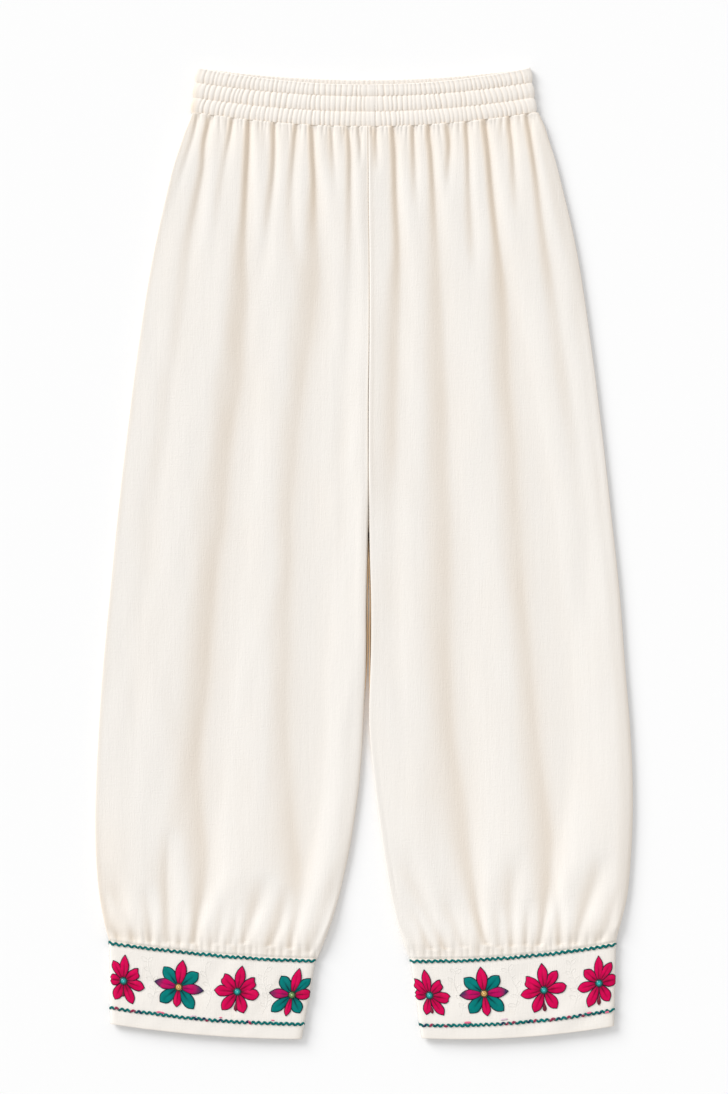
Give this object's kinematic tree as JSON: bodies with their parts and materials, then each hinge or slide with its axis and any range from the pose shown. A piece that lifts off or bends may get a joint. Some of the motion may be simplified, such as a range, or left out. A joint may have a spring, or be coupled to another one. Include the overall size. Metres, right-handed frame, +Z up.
{
  "type": "embroidered balloon-leg trousers laid flat",
  "caption": "Cream pull-on trousers laid flat: shirred elastic waistband, wide gathered legs and deep straight cuffs with flowers between wavy teal trims.",
  "frame": {"origin": "middle of the outline on the surface it lies on, at the underside of the back panels", "axes": "+Z up out of the surface through the front of the garment, +Y from the cuffs to the waist, +X to the viewer's right seen from above"},
  "size_m": [0.5342, 0.9704, 0.0105],
  "materials": {
    "leg_cloth": "matt woven crepe",
    "cuff_cloth": "matt woven cloth, embroidered",
    "waistband_cloth": "matt shirred cloth over elastic",
    "trim_thread": "satin thread braid",
    "bead_teal": "glossy",
    "bead_gold": "glossy"
  },
  "bodies": {
    "root": {"leg_front_left": "leg_cloth", "leg_back_left": "leg_cloth", "cuff_front_left": "cuff_cloth", "trim_upper_front_left": "trim_thread", "trim_lower_front_left": "trim_thread", "bead_front_left_1": "bead_teal", "bead_front_left_2": "bead_gold", "bead_front_left_3": "bead_teal", "bead_front_left_4": "bead_gold", "cuff_back_left": "cuff_cloth", "trim_upper_back_left": "trim_thread", "trim_lower_back_left": "trim_thread", "bead_back_left_1": "bead_teal", "bead_back_left_2": "bead_gold", "bead_back_left_3": "bead_teal", "leg_front_right": "leg_cloth", "leg_back_right": "leg_cloth", "cuff_front_right": "cuff_cloth", "trim_upper_front_right": "trim_thread", "trim_lower_front_right": "trim_thread", "bead_front_right_1": "bead_teal", "bead_front_right_2": "bead_gold", "bead_front_right_3": "bead_teal", "bead_front_right_4": "bead_gold", "cuff_back_right": "cuff_cloth", "trim_upper_back_right": "trim_thread", "trim_lower_back_right": "trim_thread", "bead_back_right_1": "bead_teal", "bead_back_right_2": "bead_gold", "bead_back_right_3": "bead_teal", "waistband_front_left": "waistband_cloth", "waistband_front_right": "waistband_cloth", "waistband_back": "waistband_cloth"}
  },
  "joints": []
}
